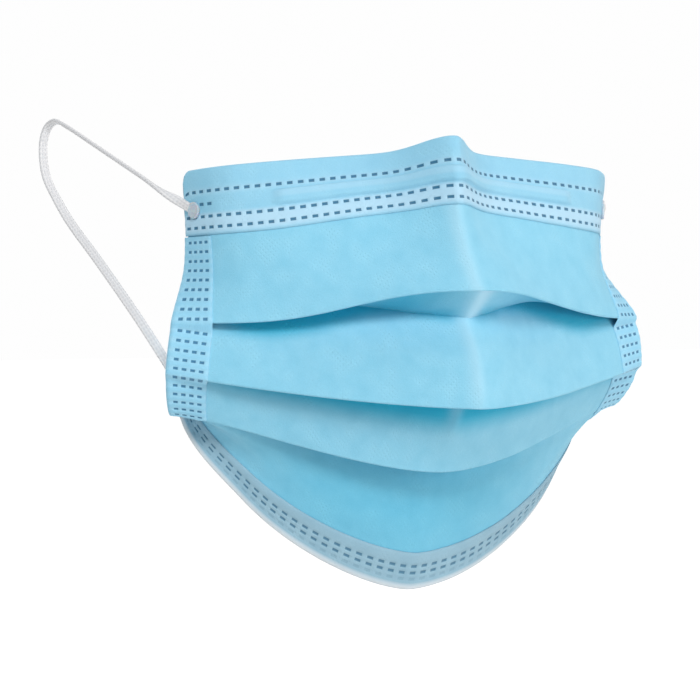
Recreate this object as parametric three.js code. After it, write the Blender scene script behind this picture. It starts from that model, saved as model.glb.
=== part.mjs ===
// A pleated surgical face mask in its worn form, with its ear loops. Millimetres, +Z up.
// The wearer faces -Y, and left and right are as seen from the front. The origin is the nose seat: the
// inner face of the cloth at the middle of the top edge.
import * as THREE from "three";

// The flat mask, before it is worn
const maskWidth = 175;
const maskHeight = 95;
const firstFold = 40; // top edge to the first fold
const foldPitch = 14.25; // from one fold to the next
const pleatDepth = 11; // how far each pleat is tucked up behind its fold
const clothWall = 1;
const plyGap = 0.3; // between two plies that lie on each other

// The worn form
const sideDepth = 41.5; // nose seat to the rearmost cloth
const noseForward = 6.2; // how far the bridge stands out from the cheek line
const noseRise = 4.2;
const noseHalfWidth = 9;
const sideTurn = 37; // degrees, how far the cloth runs back at its sides, seen from above
const foldEase = 7; // how far along the side edge a fold's step is eased, each way
const edgeHold = 4; // how soon a ply leaves its shape at the side edge behind, as a power
const bridgeFade = 1.5; // how soon the bridge fades down the upper panel, as a power

// Strips, wire and ear loops
const topHemHeight = 17.3;
const bottomHemHeight = 9.8;
const hemWall = 0.8;
const wireLength = 104;
const wireWidth = 4;
const wireThickness = 0.7;
const wireFromTop = 9.4; // top edge to the middle of the wire
const bandWidth = 9.5;
const bandWall = 0.8;
const elasticWidth = 3.3;
const elasticThickness = 1.3;
const padWidth = 3.6;
const padHeight = 5;
const padThickness = 1.3;
const padFromTop = 10.4;
const padFromBottom = 5;
const padFromSide = 3.4;
const fitGap = 0.3; // between pieces that touch

// The seven plies between the edges and the pleats. from and to: millimetres down the flat mask. take: the
// chord in the middle plane as a share of the ply's length. lean: degrees from straight down, towards the
// back. bow: how far the ply stands forward of its chord, as a share of its length.
const secondFold = firstFold + foldPitch;
const thirdFold = secondFold + foldPitch;
const plies = [
  { name: "upper panel", from: 0, to: firstFold, take: 1.06, lean: -27, bow: -0.07 },
  { name: "first underside", from: firstFold, to: firstFold - pleatDepth, take: 1, lean: 44, bow: 0 },
  { name: "second panel", from: firstFold - pleatDepth, to: secondFold, take: 1.03, lean: -19.5, bow: 0.09 },
  { name: "second underside", from: secondFold, to: secondFold - pleatDepth, take: 0.98, lean: 125, bow: 0 },
  { name: "third panel", from: secondFold - pleatDepth, to: thirdFold, take: 1.1, lean: 28, bow: 0.04 },
  { name: "third underside", from: thirdFold, to: thirdFold - pleatDepth, take: 0.9, lean: 125, bow: 0 },
  { name: "chin panel", from: thirdFold - pleatDepth, to: maskHeight, take: 1.02, lean: 15, bow: 0.06 },
];

// The lines across the mask, from the top edge down. round: how blunt the ridge is in plan. start and
// settle: how the line leaves its height in the middle and meets its height at the side. spread: how far
// it swings wide of the side edge on its way there.
const lines = [
  { name: "top edge", round: 0.25, start: 1.4, settle: 1, spread: 0 },
  { name: "first fold", round: 0.1, start: 2.5, settle: 6, spread: 0 },
  { name: "first valley", round: 0.12, start: 1.2, settle: 1, spread: 0 },
  { name: "second fold", round: 0.1, start: 1.6, settle: 1, spread: 0 },
  { name: "second valley", round: 0.2, start: 1.3, settle: 1, spread: 0 },
  { name: "third fold", round: 0.4, start: 1.7, settle: 1.4, spread: 0 },
  { name: "third valley", round: 0.4, start: 1.5, settle: 1.2, spread: 0.05 },
  { name: "bottom edge", round: 0.24, start: 1.7, settle: 1, spread: 0.46 },
];

// The side edge from the top corner down. at and drop: shares of maskHeight. out: share of half of
// maskWidth. back: share of sideDepth.
const sideEdge = [
  { at: 0, out: 0.766, back: 0.769, drop: 0.106 },
  { at: 0.26, out: 0.749, back: 0.788, drop: 0.37 },
  { at: 0.42, out: 0.829, back: 0.643, drop: 0.534 },
  { at: 0.57, out: 0.846, back: 0.646, drop: 0.682 },
  { at: 0.72, out: 0.797, back: 0.802, drop: 0.8 },
  { at: 0.86, out: 0.73, back: 0.94, drop: 0.837 },
  { at: 1, out: 0.69, back: 1, drop: 0.742 },
];

// The free run of the left ear loop from its upper pad to its lower pad, in millimetres from the origin.
// The right one hangs lower behind: rightSag is how much lower at its far end.
const rightSag = 20;
const loopRoute = [
  { out: 69.5, back: 43, drop: 15 },
  { out: 71, back: 52.4, drop: 10.9 },
  { out: 72.4, back: 65, drop: 6 },
  { out: 74, back: 78.8, drop: 0.6 },
  { out: 75.4, back: 90.5, drop: -3.9 },
  { out: 76, back: 96.5, drop: -5.4 },
  { out: 76.5, back: 101, drop: -3.2 },
  { out: 77, back: 102.4, drop: 2.2 },
  { out: 77, back: 100.4, drop: 10 },
  { out: 76.4, back: 95.2, drop: 16.4 },
  { out: 75.3, back: 88, drop: 23.6 },
  { out: 74, back: 75, drop: 33.2 },
  { out: 72.4, back: 62, drop: 43.5 },
  { out: 70.6, back: 50.5, drop: 53.5 },
  { out: 66, back: 45, drop: 64 },
];

const halfWidth = maskWidth / 2;
const plyStep = clothWall + plyGap; // from the middle of one pressed ply to the middle of the next
const hemLift = clothWall / 2 + fitGap + hemWall / 2; // the cloth's middle to a hem's middle
const bandLift = clothWall / 2 + fitGap + bandWall / 2;
const turn = THREE.MathUtils.degToRad(sideTurn);
const tiny = 1e-9; // keeps a row or column that lies right on a limit
const pressInward = new THREE.Vector3(-Math.sin(turn), Math.cos(turn), 0); // of the right side's stack

const add = (point, direction, length) => point.clone().addScaledVector(direction, length);
const lerp = (start, end, share) => start.clone().lerp(end, share);
const mix = (start, end, share) => start + (end - start) * share;
const unit = (from, to) => to.clone().sub(from).normalize();

// A smooth value of one column between the rows of a table
function readTable(rows, at, column) {
  const below = rows.filter((row) => row.at <= at).length - 1;
  const index = Math.min(Math.max(below, 0), rows.length - 2);
  const slope = (row) => {
    const before = rows[Math.max(row - 1, 0)];
    const after = rows[Math.min(row + 1, rows.length - 1)];
    return (after[column] - before[column]) / (after.at - before.at);
  };
  const span = rows[index + 1].at - rows[index].at;
  const share = (at - rows[index].at) / span;
  const start = rows[index][column];
  const end = rows[index + 1][column];
  const rise = share * share * (3 - 2 * share);
  const leave = slope(index) * span * share * (1 - share) ** 2;
  const arrive = slope(index + 1) * span * share ** 2 * (share - 1);
  return mix(start, end, rise) + leave + arrive;
}

// How many plies lie in front of the side edge's own line at this height, eased from fold to fold
function pliesInFront(down) {
  const folds = [firstFold, secondFold, thirdFold];
  const step = (fold) => 2 * THREE.MathUtils.smoothstep(down, fold - foldEase, fold + foldEase);
  return folds.reduce((sum, fold) => sum + step(fold), 0);
}

// The right side edge of one ply of the pressed stack
function sidePoint(ply, down) {
  const at = down / maskHeight;
  const edge = new THREE.Vector3(
    readTable(sideEdge, at, "out") * halfWidth,
    readTable(sideEdge, at, "back") * sideDepth,
    -readTable(sideEdge, at, "drop") * maskHeight,
  );
  return add(edge, pressInward, (ply - pliesInFront(down)) * plyStep);
}

// The eight lines' points in the middle plane: each ply leads from one to the next
function middlePoints() {
  const points = [new THREE.Vector3(0, noseForward - clothWall / 2, -noseRise)];
  for (const ply of plies) {
    const lean = THREE.MathUtils.degToRad(ply.lean);
    const along = new THREE.Vector3(0, Math.sin(lean), -Math.cos(lean));
    const chord = Math.abs(ply.to - ply.from) * ply.take;
    points.push(add(points.at(-1), along, chord));
  }
  return points;
}

// The same lines' points on the right side edge, each between the two plies that meet there
function sidePoints() {
  const folds = plies.slice(1).map((ply, index) => sidePoint(index + 0.5, ply.from));
  return [sidePoint(0, 0), ...folds, sidePoint(plies.length - 1, maskHeight)];
}

const middle = middlePoints();
const sides = sidePoints();

// A line's point at a share of the half width, from -1 at the left edge to 1 at the right
function linePoint(index, across) {
  const { round, start, settle, spread } = lines[index];
  const share = Math.abs(across);
  const backShare = (Math.hypot(share, round) - round) / (Math.hypot(1, round) - round);
  const dropShare = 1 - (1 - share ** start) ** settle;
  const swing = 1 + spread * (1 - share * share);
  return new THREE.Vector3(
    across * sides[index].x * swing,
    mix(middle[index].y, sides[index].y, backShare),
    mix(middle[index].z, sides[index].z, dropShare),
  );
}

// The turn of the cloth at a fold or valley: where the ply above ends, the tip, and where the next starts
function turnAt(index, across) {
  const probe = 0.01;
  const here = linePoint(index, across);
  const before = linePoint(index, Math.max(across - probe, -1));
  const after = linePoint(index, Math.min(across + probe, 1));
  const arrive = unit(linePoint(index - 1, across), here);
  const leave = unit(here, linePoint(index + 1, across));
  const outOfFold = arrive.sub(leave).normalize();
  const isValley = index % 2 === 0;
  const layer = unit(before, after).cross(outOfFold).normalize();
  layer.multiplyScalar(isValley ? -1 : 1);
  return {
    end: add(here, layer, -plyStep / 2),
    tip: add(here, outOfFold, plyStep / 2),
    start: add(here, layer, plyStep / 2),
  };
}

// A point of the cloth's smooth middle surface, on one ply, down the flat mask and across it
function smoothPoint(plyIndex, down, across) {
  const ply = plies[plyIndex];
  const share = Math.abs(across);
  const along = (down - ply.from) / (ply.to - ply.from);
  const start = plyIndex === 0 ? linePoint(0, across) : turnAt(plyIndex, across).start;
  const isLast = plyIndex === plies.length - 1;
  const end = isLast ? linePoint(plyIndex + 1, across) : turnAt(plyIndex + 1, across).end;
  const point = lerp(start, end, along);
  const chord = lerp(sidePoint(plyIndex, ply.from), sidePoint(plyIndex, ply.to), along);
  const sideShape = sidePoint(plyIndex, down).sub(chord);
  sideShape.x *= Math.sign(across);
  point.addScaledVector(sideShape, share ** edgeHold);
  point.y -= ply.bow * Math.abs(ply.to - ply.from) * Math.sin(Math.PI * along) * (1 - share) ** 2;
  if (plyIndex === 0) {
    const nearNose = Math.exp(-((share * halfWidth / noseHalfWidth) ** 2));
    const bridge = nearNose * Math.max(1 - along, 0) ** bridgeFade;
    point.y -= noseForward * bridge;
    point.z += noseRise * bridge;
  }
  return point;
}

// The heights down the flat mask where every ply that passes them has a row
function rowHeights() {
  const valleys = [firstFold, secondFold, thirdFold].map((fold) => fold - pleatDepth);
  const hemTop = maskHeight - bottomHemHeight;
  return [
    0,
    ...steps(0, topHemHeight, 3),
    ...steps(topHemHeight, valleys[0], 2),
    ...steps(valleys[0], firstFold, 2),
    valleys[1],
    ...steps(valleys[1], secondFold, 2),
    valleys[2],
    ...steps(valleys[2], thirdFold, 2),
    ...steps(thirdFold, hemTop, 3),
    ...steps(hemTop, maskHeight, 2),
  ];
}

function plyRows(ply) {
  const top = Math.min(ply.from, ply.to) - tiny;
  const bottom = Math.max(ply.from, ply.to) + tiny;
  const downs = rowHeights().filter((down) => down > top && down < bottom);
  return ply.from < ply.to ? downs : downs.reverse();
}

// The same surface as it is built, straight between its rows, and on past a ply's ends
function clothPoint(plyIndex, down, across) {
  const downs = plyRows(plies[plyIndex]);
  const above = downs.filter((row) => row <= down).length - 1;
  const index = Math.min(Math.max(above, 0), downs.length - 2);
  const start = smoothPoint(plyIndex, downs[index], across);
  const end = smoothPoint(plyIndex, downs[index + 1], across);
  return lerp(start, end, (down - downs[index]) / (downs[index + 1] - downs[index]));
}

// The outward direction, the run towards +X and the run down the cloth there, on an even ply
function clothFrame(plyIndex, down, across) {
  const probe = 0.5;
  const step = probe / halfWidth;
  const left = clothPoint(plyIndex, down, Math.max(across - step, -1));
  const right = clothPoint(plyIndex, down, Math.min(across + step, 1));
  const above = clothPoint(plyIndex, down - probe, across);
  const below = clothPoint(plyIndex, down + probe, across);
  const alongX = unit(left, right);
  const outward = unit(above, below).cross(alongX).normalize();
  const downward = alongX.clone().cross(outward).normalize();
  return { outward, alongX, downward };
}

function overCloth(plyIndex, down, across, lift) {
  const { outward } = clothFrame(plyIndex, down, across);
  return add(clothPoint(plyIndex, down, across), outward, lift);
}

function steps(from, to, count) {
  return Array.from({ length: count }, (_, index) => mix(from, to, (index + 1) / count));
}

// Where the columns of the cloth stand: close at the nose, then out to the wire's end, the bands and the edge
function columnShares() {
  const nose = (2 * noseHalfWidth) / halfWidth;
  const wire = wireLength / maskWidth;
  const band = 1 - bandWidth / halfWidth;
  return [...steps(0, nose, 4), ...steps(nose, wire, 6), ...steps(wire, band, 4), ...steps(band, 1, 3)];
}

function columnsWithin(limit) {
  const right = columnShares().filter((share) => share <= limit + tiny);
  return [...right.map((share) => -share).reverse(), 0, ...right];
}

// A closed wall of even thickness about a grid of points, whose rows run down and columns towards +X
function wall(grid, thickness) {
  const rows = grid.length;
  const columns = grid[0].length;
  const normal = (row, column) => {
    const down = unit(grid[Math.max(row - 1, 0)][column], grid[Math.min(row + 1, rows - 1)][column]);
    const over = unit(grid[row][Math.max(column - 1, 0)], grid[row][Math.min(column + 1, columns - 1)]);
    return down.cross(over).normalize();
  };
  const positions = [];
  for (const side of [1, -1]) {
    grid.forEach((points, row) => points.forEach((point, column) => {
      positions.push(...add(point, normal(row, column), (side * thickness) / 2).toArray());
    }));
  }
  const at = (row, column) => row * columns + column;
  const inner = rows * columns;
  const indices = [];
  for (let row = 0; row < rows - 1; row += 1) {
    for (let column = 0; column < columns - 1; column += 1) {
      const [a, b] = [at(row, column), at(row + 1, column)];
      const [c, d] = [a + 1, b + 1];
      const falling = grid[row][column].distanceTo(grid[row + 1][column + 1]);
      const rising = grid[row + 1][column].distanceTo(grid[row][column + 1]);
      const halves = falling < rising ? [[a, b, d], [a, d, c]] : [[a, b, c], [b, d, c]];
      for (const [i, j, k] of halves) indices.push(i, j, k, i + inner, k + inner, j + inner);
    }
  }
  const rim = [];
  for (let row = 0; row < rows - 1; row += 1) rim.push(at(row, 0));
  for (let column = 0; column < columns - 1; column += 1) rim.push(at(rows - 1, column));
  for (let row = rows - 1; row > 0; row -= 1) rim.push(at(row, columns - 1));
  for (let column = columns - 1; column > 0; column -= 1) rim.push(at(0, column));
  rim.forEach((a, index) => {
    const b = rim[(index + 1) % rim.length];
    indices.push(b, a, a + inner, b, a + inner, b + inner);
  });
  const geometry = new THREE.BufferGeometry();
  geometry.setAttribute("position", new THREE.Float32BufferAttribute(positions, 3));
  geometry.setIndex(indices);
  geometry.computeVertexNormals();
  return geometry;
}

// The pleated cloth in one piece, turning at each fold and valley
function bodyGeometry() {
  const columns = columnsWithin(1);
  const grid = [];
  plies.forEach((ply, index) => {
    plyRows(ply).forEach((down) => grid.push(columns.map((across) => smoothPoint(index, down, across))));
    if (index < plies.length - 1) grid.push(columns.map((across) => turnAt(index + 1, across).tip));
  });
  return wall(grid, clothWall);
}

// The strip along the top edge, lifted over the wire as far out as the wire goes
function topHemGeometry() {
  const ramp = 1.4; // how far the hem takes to rise over the wire
  const half = wireWidth / 2 + fitGap;
  const raise = wireThickness + fitGap;
  const wireEnd = wireLength / maskWidth + tiny;
  const rows = [
    { down: 0, raise: 0 },
    { down: (wireFromTop - half - ramp) / 2, raise: 0 },
    { down: wireFromTop - half - ramp, raise: 0 },
    { down: wireFromTop - half, raise },
    { down: wireFromTop + half, raise },
    { down: wireFromTop + half + ramp, raise: 0 },
    { down: topHemHeight, raise: 0 },
  ];
  const columns = columnsWithin(1);
  const lift = (row, across) => hemLift + (Math.abs(across) <= wireEnd ? row.raise : 0);
  const grid = rows.map((row) => columns.map((across) => overCloth(0, row.down, across, lift(row, across))));
  return wall(grid, hemWall);
}

function wireGeometry() {
  const lift = clothWall / 2 + fitGap + wireThickness / 2;
  const rows = [wireFromTop - wireWidth / 2, wireFromTop + wireWidth / 2];
  const columns = columnsWithin(wireLength / maskWidth);
  return wall(rows.map((down) => columns.map((across) => overCloth(0, down, across, lift))), wireThickness);
}

function bottomHemGeometry() {
  const last = plies.length - 1;
  const rows = rowHeights().slice(-3);
  const columns = columnsWithin(1);
  return wall(rows.map((down) => columns.map((across) => overCloth(last, down, across, hemLift))), hemWall);
}

// The band that binds the stack of plies at one side: down its outer face, round the edge and back inside
function bandGeometry(sign) {
  const reach = plyStep / 2 + clothWall / 2 + 2 * fitGap + bandWall / 2; // a fold's middle line to the band
  const rise = 3; // how far down the band takes to step from one ply to the next
  const rowSpace = 1; // least room between a step and a plain row
  const folds = [firstFold, secondFold, thirdFold];
  const outerSteps = folds.map((fold) => fold + reach);
  const innerSteps = folds.map((fold) => fold - pleatDepth - reach - rise);
  const top = topHemHeight + fitGap + bandWall;
  const bottom = maskHeight - bottomHemHeight - 2 * fitGap - bandWall;
  const plain = [top, ...rowHeights().filter((down) => down > top + rise && down < bottom - rise), bottom];
  const stepTops = [...outerSteps, ...innerSteps];
  const stepRows = stepTops.flatMap((down) => [down, down + rise]);
  const isSpaced = (down) => stepTops.every((step) => Math.abs(down - step - rise / 2) > rise / 2 + rowSpace);
  const spaced = plain.filter((down) => isSpaced(down));
  const downs = [...spaced, ...stepRows].sort((a, b) => a - b);
  const plyAt = (down, stepList) => 2 * stepList.filter((step) => down > step + rise / 2).length;
  const shares = columnShares().slice(-4);
  const rim = fitGap + bandWall / 2;
  const grid = downs.map((down) => {
    const outerPly = plyAt(down, outerSteps);
    const innerPly = plyAt(down, innerSteps);
    const outer = shares.map((share) => overCloth(outerPly, down, sign * share, bandLift));
    const inner = shares.map((share) => overCloth(innerPly, down, sign * share, -bandLift)).reverse();
    const past = clothFrame(outerPly, down, sign).alongX.multiplyScalar(sign);
    const row = [...outer, add(outer.at(-1), past, rim), add(inner[0], past, rim), ...inner];
    return sign > 0 ? row : row.reverse();
  });
  return wall(grid, bandWall);
}

// Where a pad lies on a hem, and its frame there
function padSeat(sign, isUpper) {
  const across = sign * (1 - padFromSide / halfWidth);
  const ply = isUpper ? 0 : plies.length - 1;
  const down = isUpper ? padFromTop : maskHeight - padFromBottom;
  const frame = clothFrame(ply, down, across);
  const lift = clothWall / 2 + fitGap + hemWall + fitGap + padThickness / 2;
  return { ...frame, center: add(clothPoint(ply, down, across), frame.outward, lift) };
}

// A pad with round ends, flat on its hem
function padGeometry(seat) {
  const radius = padWidth / 2;
  const straight = padHeight / 2 - radius;
  const outline = new THREE.Shape();
  outline.absarc(0, straight, radius, 0, Math.PI);
  outline.absarc(0, -straight, radius, Math.PI, 2 * Math.PI);
  outline.closePath();
  const geometry = new THREE.ExtrudeGeometry(outline, {
    depth: padThickness,
    bevelEnabled: false,
    curveSegments: 6,
  });
  geometry.translate(0, 0, -padThickness / 2);
  const upward = seat.downward.clone().negate();
  const frame = new THREE.Matrix4().makeBasis(seat.alongX, upward, seat.outward);
  return geometry.applyMatrix4(frame.setPosition(seat.center));
}

// The flat elastic with its edges rounded off, wide along X before it is turned by angle
function elasticSection(angle) {
  const corner = elasticThickness / 4;
  const x = elasticWidth / 2;
  const y = elasticThickness / 2;
  const quarter = [[x, y - corner], [x - corner, y]];
  const corners = [
    ...quarter,
    ...quarter.map(([a, b]) => [-a, b]).reverse(),
    ...quarter.map(([a, b]) => [-a, -b]),
    ...quarter.map(([a, b]) => [a, -b]).reverse(),
  ];
  const center = new THREE.Vector2();
  return new THREE.Shape(corners.map(([a, b]) => new THREE.Vector2(a, b).rotateAround(center, angle)));
}

function loopGeometry(sign, upper, lower) {
  const elasticSteps = 60;
  const leave = padWidth / 2 + fitGap;
  const onEdge = add(lower.center, lower.outward, (elasticWidth - elasticThickness) / 2);
  const nearest = loopRoute[0].back;
  const reach = Math.max(...loopRoute.map(({ back }) => back)) - nearest;
  const sag = ({ back }) => (sign > 0 ? (rightSag * Math.max(back - nearest, 0)) / reach : 0);
  const points = [
    add(upper.center, upper.alongX, sign * leave),
    add(upper.center, upper.alongX, sign * (leave + padWidth)),
    ...loopRoute.map((stop) => new THREE.Vector3(sign * stop.out, stop.back, -stop.drop - sag(stop))),
    add(onEdge, lower.alongX, sign * (leave + padWidth)),
    add(onEdge, lower.alongX, sign * leave),
  ];
  const path = new THREE.CatmullRomCurve3(points);
  const frames = path.computeFrenetFrames(elasticSteps, false);
  const wide = upper.downward;
  const angle = Math.atan2(wide.dot(frames.binormals[0]), wide.dot(frames.normals[0]));
  return new THREE.ExtrudeGeometry(elasticSection(angle), {
    steps: elasticSteps,
    extrudePath: path,
    bevelEnabled: false,
  });
}

function finish(color, roughness, metalness = 0) {
  return new THREE.MeshStandardMaterial({ color, roughness, metalness });
}

const mask = new THREE.Group();

function addPiece(name, geometry, material) {
  const mesh = new THREE.Mesh(geometry, material);
  mesh.name = name;
  mask.add(mesh);
}

addPiece("mask_body", bodyGeometry(), finish("#95d3ea", 0.85));
addPiece("top_hem", topHemGeometry(), finish("#a2d5e8", 0.8));
addPiece("nose_wire", wireGeometry(), finish("#e6e8ea", 0.5));
addPiece("bottom_hem", bottomHemGeometry(), finish("#9fc0ce", 0.8));
for (const [label, sign] of [["left", -1], ["right", 1]]) {
  const upper = padSeat(sign, true);
  const lower = padSeat(sign, false);
  addPiece(`side_band_${label}`, bandGeometry(sign), finish("#91d1ed", 0.8));
  addPiece(`upper_pad_${label}`, padGeometry(upper), finish("#d5dadd", 0.45));
  addPiece(`lower_pad_${label}`, padGeometry(lower), finish("#d5dadd", 0.45));
  addPiece(`ear_loop_${label}`, loopGeometry(sign, upper, lower), finish("#eceef0", 0.9));
}

export default mask;
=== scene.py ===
import math

import bmesh
import bpy
import numpy as np
from mathutils import Matrix, Vector, noise


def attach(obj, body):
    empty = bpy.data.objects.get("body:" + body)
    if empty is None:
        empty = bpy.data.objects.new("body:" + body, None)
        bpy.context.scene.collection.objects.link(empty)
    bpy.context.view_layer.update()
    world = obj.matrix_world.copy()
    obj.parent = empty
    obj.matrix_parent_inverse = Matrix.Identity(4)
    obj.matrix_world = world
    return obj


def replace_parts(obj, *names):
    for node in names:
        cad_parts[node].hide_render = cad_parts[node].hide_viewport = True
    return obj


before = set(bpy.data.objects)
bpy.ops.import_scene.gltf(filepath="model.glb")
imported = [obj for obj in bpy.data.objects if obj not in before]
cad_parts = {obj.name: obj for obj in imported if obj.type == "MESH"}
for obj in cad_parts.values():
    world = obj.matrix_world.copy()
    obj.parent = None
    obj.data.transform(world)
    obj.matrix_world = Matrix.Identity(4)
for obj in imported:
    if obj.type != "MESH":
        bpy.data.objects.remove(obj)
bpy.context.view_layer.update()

mm = 0.001
scene = bpy.context.scene

# Camera: from the viewer's left of the mask's front, about level with it, through a long lens
cameraSet = {
    "azimuth": -30,      # degrees round from straight in front
    "elevation": 1.5,
    "distance": 1.2,     # metres
    "lens": 225.3,       # millimetres on a 36 mm wide sensor
    "aim": (-0.0318, 0.0039, -0.0586),
}


def makeCamera(setting):
    turn, rise = math.radians(setting["azimuth"]), math.radians(setting["elevation"])
    back = Vector((math.sin(turn) * math.cos(rise), -math.cos(turn) * math.cos(rise), math.sin(rise)))
    data = bpy.data.cameras.new("camera")
    data.lens = setting["lens"]
    data.sensor_width = 36
    camera = bpy.data.objects.new("camera", data)
    scene.collection.objects.link(camera)
    camera.location = Vector(setting["aim"]) + back * setting["distance"]
    camera.rotation_euler = (-back).to_track_quat("-Z", "Y").to_euler()
    scene.camera = camera


makeCamera(cameraSet)
print("camera is set")


# Material helpers
def linear(colour, alpha=1.0):
    parts = [int(colour[i:i + 2], 16) / 255 for i in (1, 3, 5)]
    return [p / 12.92 if p <= 0.04045 else ((p + 0.055) / 1.055) ** 2.4 for p in parts] + [alpha]


def addNode(tree, kind, settings=None, links=None):
    node = tree.nodes.new(kind)
    for name, value in (settings or {}).items():
        if isinstance(name, int) or name in node.inputs:
            node.inputs[name].default_value = value
        else:
            setattr(node, name, value)
    for name, source in (links or {}).items():
        tree.links.new(source, node.inputs[name])
    return node


def newMaterial(name):
    material = bpy.data.materials.new(name)
    material.use_nodes = True
    tree = material.node_tree
    tree.nodes.clear()
    shader = addNode(tree, "ShaderNodeBsdfPrincipled")
    addNode(tree, "ShaderNodeOutputMaterial", links={"Surface": shader.outputs["BSDF"]})
    return material, tree, shader


# The form of the worn mask, in millimetres down and across the flat mask
maskForm = {
    "width": 175,
    "height": 95,
    "firstFold": 40,
    "foldPitch": 14.25,
    "pleatDepth": 11,
    "cloth": 0.32,       # three layers of nonwoven together
    "plyStep": 0.64,     # from ply to ply where they lie pressed together
    "sideDepth": 41.5,
    "noseForward": 6.2,
    "noseRise": 4.2,
    "noseHalfWidth": 10.5,
    "noseShift": -1.5,   # the bridge leans a little to the left
    "seatOffset": 0.5,   # nose seat to the middle of the cloth
    "sideTurn": 37,      # degrees
    "foldEase": 7,
    "edgeHold": 4,
    "cheekOut": 0.7,     # both upper ends stand this much further out
    "rightOut": 3.0,     # the upper right end stands further out and forward than the left one
    "rightForward": 2.4,
    "flare": 3.5,        # of the chin beside the bands
    "chinTurn": 6.5,     # to the front and up on the left
    "chinTuck": 2.3,     # down on the right
    "cornerRadius": 3.2,  # of the two upper corners
    "cornerDepth": 17,   # how far down the rounding is taken up
    "bridgeFade": 1.5,
}
halfWidth = maskForm["width"] / 2
maskHeight = maskForm["height"]
folds = [maskForm["firstFold"] + i * maskForm["foldPitch"] for i in range(3)]
valleys = [fold - maskForm["pleatDepth"] for fold in folds]

# take: chord in the middle plane as a share of the ply's length. lean: degrees from straight down, towards
# the back. bow: how far the ply stands forward of its chord, as a share of its length.
plies = [
    {"name": "upper panel", "start": 0, "end": folds[0], "take": 1.06, "lean": -27, "bow": -0.07},
    {"name": "first underside", "start": folds[0], "end": valleys[0], "take": 1, "lean": 44, "bow": 0},
    {"name": "second panel", "start": valleys[0], "end": folds[1], "take": 1.03, "lean": -19.5, "bow": 0.09},
    {"name": "second underside", "start": folds[1], "end": valleys[1], "take": 0.98, "lean": 125, "bow": 0},
    {"name": "third panel", "start": valleys[1], "end": folds[2], "take": 1.1, "lean": 28, "bow": 0.04},
    {"name": "third underside", "start": folds[2], "end": valleys[2], "take": 0.9, "lean": 125, "bow": 0},
    {"name": "chin panel", "start": valleys[2], "end": maskHeight, "take": 1.095, "lean": 15, "bow": 0.06},
]

# The lines across the mask, from the top edge down. start and settle say how a line leaves the middle and comes
# to its side end. Right of the middle some lines do so in their own way.
lines = [
    {"name": "top edge", "round": 0.25, "start": 1.4, "settle": 1, "spread": 0},
    {"name": "first fold", "round": 0.1, "start": 2.7, "settle": 6, "spread": 0,
     "startRight": 1.9, "settleRight": 2.7},
    {"name": "first valley", "round": 0.12, "start": 1.2, "settle": 1, "spread": 0,
     "startRight": 1.1, "settleRight": 1.1},
    {"name": "second fold", "round": 0.1, "start": 1.6, "settle": 1, "spread": 0},
    {"name": "second valley", "round": 0.2, "start": 1.3, "settle": 1, "spread": 0},
    {"name": "third fold", "round": 0.4, "start": 1.7, "settle": 1.4, "spread": 0},
    {"name": "third valley", "round": 0.4, "start": 1.5, "settle": 1.2, "spread": 0.05},
    {"name": "bottom edge", "round": 0.24, "start": 1.53, "settle": 1, "spread": 0.46, "startRight": 1.7},
]
for line in lines:
    line.setdefault("startRight", line["start"])
    line.setdefault("settleRight", line["settle"])

# The side edge from the top corner down, in shares of the height, half width and side depth
sideEdge = [
    {"at": 0, "out": 0.79, "back": 0.75, "drop": 0.106},
    {"at": 0.26, "out": 0.776, "back": 0.765, "drop": 0.37},
    {"at": 0.42, "out": 0.86, "back": 0.605, "drop": 0.534},
    {"at": 0.57, "out": 0.88, "back": 0.605, "drop": 0.682},
    {"at": 0.72, "out": 0.83, "back": 0.765, "drop": 0.8},
    {"at": 0.86, "out": 0.74, "back": 0.95, "drop": 0.79},
    {"at": 1, "out": 0.725, "back": 0.99, "drop": 0.72},
]

# How the wired top edge leaves an even curve, in millimetres: steep beside the nose, flat over the cheeks and
# curled back at its ends
topShape = [
    {"at": 0, "wide": 0, "back": 0.6},
    {"at": 0.05, "wide": 0.2, "back": 1.8},
    {"at": 0.1, "wide": 0.4, "back": 3.1},
    {"at": 0.264, "wide": 0.4, "back": 5.1},
    {"at": 0.45, "wide": 1.9, "back": 3.7},
    {"at": 0.6, "wide": 3.8, "back": 1.7},
    {"at": 0.754, "wide": 4.8, "back": 0.6},
    {"at": 0.83, "wide": 3.9, "back": 1.1},
    {"at": 0.905, "wide": 1.6, "back": 2.7},
    {"at": 1, "wide": -2.2, "back": 5},
]


def column(rows, name):
    return np.array([row[name] for row in rows], dtype=float)


def mix(start, end, share):
    return start + (end - start) * share


def smoothStep(value, low, high):
    share = np.clip((value - low) / (high - low), 0, 1)
    return share * share * (3 - 2 * share)


# A soft hump of height 1 at the middle, gone at about twice its reach
def hump(value, middle, reach):
    return np.exp(-(((value - middle) / reach) ** 2))


def unit(vectors):
    return vectors / np.maximum(np.linalg.norm(vectors, axis=-1, keepdims=True), 1e-12)


# A smooth value of one column between the rows of a table
def readTable(rows, at, name):
    stops, values = column(rows, "at"), column(rows, name)
    slopes = np.gradient(values)
    slopes[1:-1] = (values[2:] - values[:-2]) / (stops[2:] - stops[:-2])
    slopes[0] = (values[1] - values[0]) / (stops[1] - stops[0])
    slopes[-1] = (values[-1] - values[-2]) / (stops[-1] - stops[-2])
    index = np.clip(np.searchsorted(stops, at, side="right") - 1, 0, len(stops) - 2)
    span = stops[index + 1] - stops[index]
    share = (at - stops[index]) / span
    rise = share * share * (3 - 2 * share)
    leave = slopes[index] * span * share * (1 - share) ** 2
    arrive = slopes[index + 1] * span * share ** 2 * (share - 1)
    return mix(values[index], values[index + 1], rise) + leave + arrive


sideTurn = math.radians(maskForm["sideTurn"])
pressInward = np.array([-math.sin(sideTurn), math.cos(sideTurn), 0])


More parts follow.
